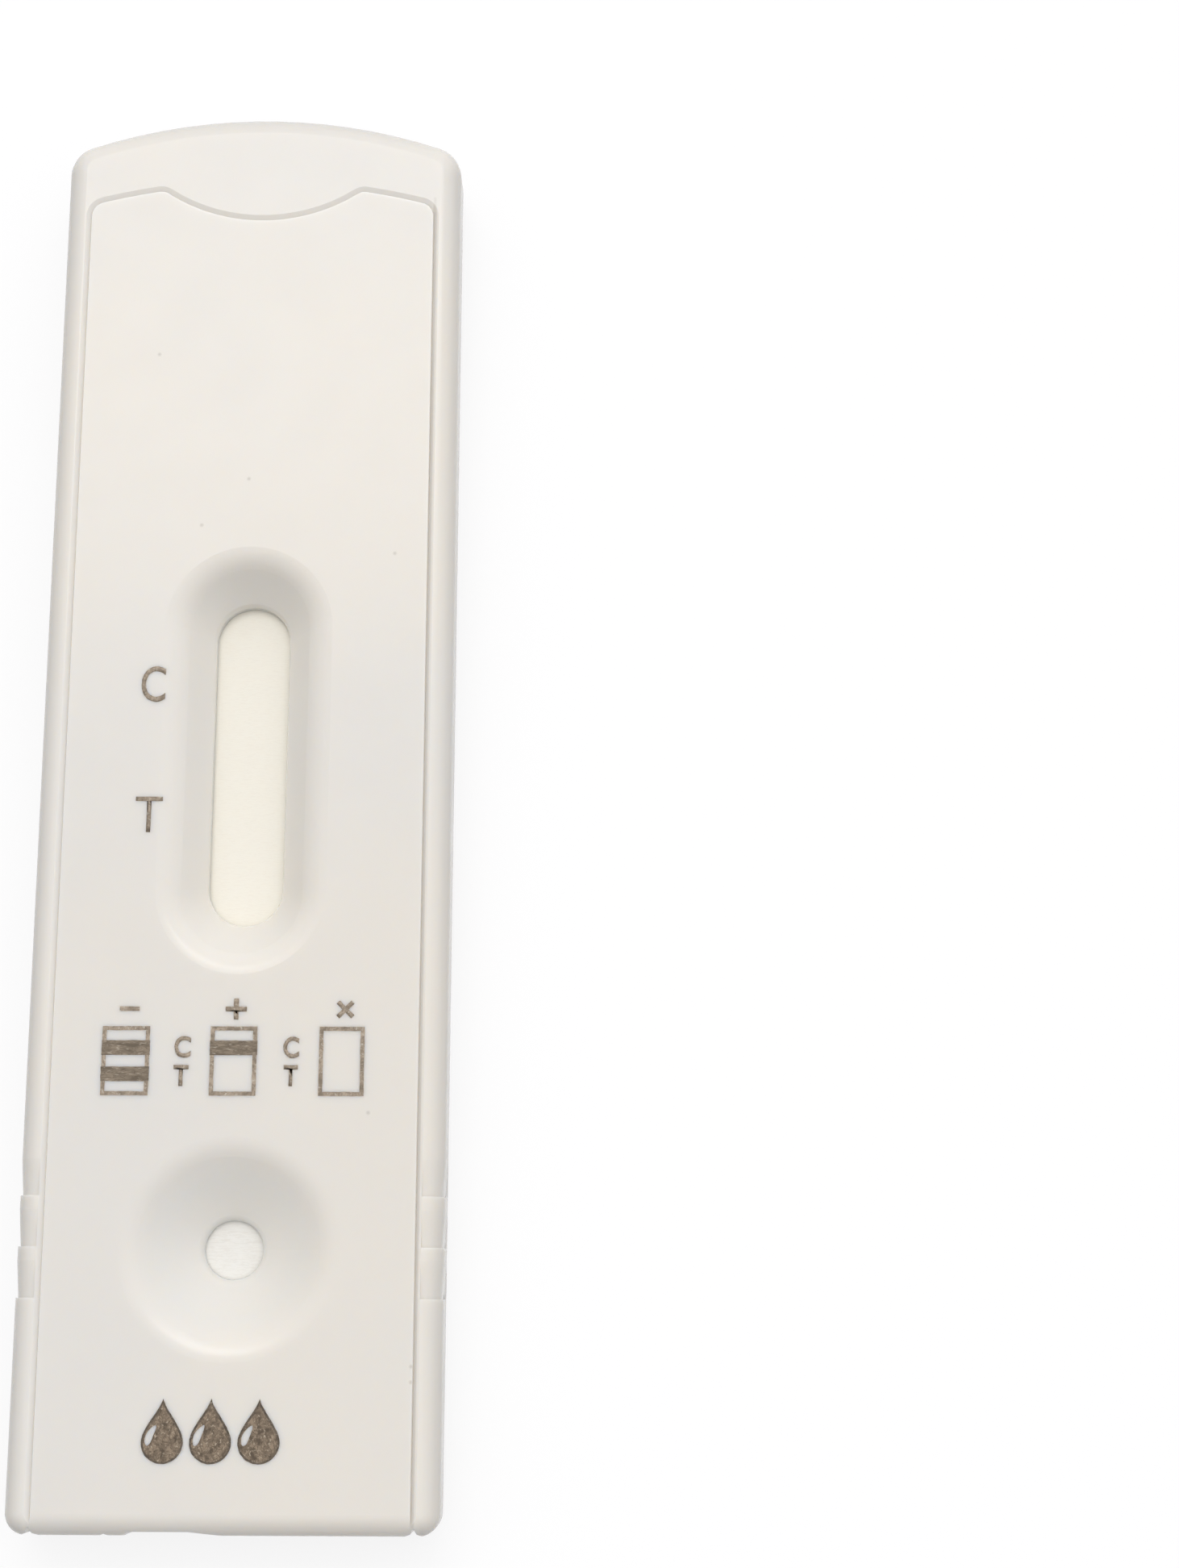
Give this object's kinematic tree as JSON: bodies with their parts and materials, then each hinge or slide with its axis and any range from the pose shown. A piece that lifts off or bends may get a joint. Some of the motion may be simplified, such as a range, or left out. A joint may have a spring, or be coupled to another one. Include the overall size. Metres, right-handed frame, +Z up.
{
  "type": "lateral flow cassette",
  "caption": "Flat moulded two-shell case with an arched end, a sloping reading window and a round sample well, holding a layered test strip inside.",
  "frame": {"origin": "middle of the underside, under the centre of the case", "axes": "+Z up out of the reading window, +Y along the case towards the arched end, +X to the right seen from above with the arched end away"},
  "size_m": [0.02, 0.07, 0.005],
  "materials": {
    "case_plastic": "satin injection-moulded polystyrene",
    "card_plastic": "smooth plastic card",
    "membrane_paper": "fine microporous membrane",
    "conjugate_fibre": "glass-fibre pad",
    "pad_fibre": "cellulose fibre pad"
  },
  "bodies": {
    "root": {"top_shell": "case_plastic", "bottom_shell": "case_plastic", "backing_card": "card_plastic", "membrane": "membrane_paper", "conjugate_pad": "conjugate_fibre", "sample_pad": "pad_fibre", "absorbent_pad": "pad_fibre"}
  },
  "joints": []
}
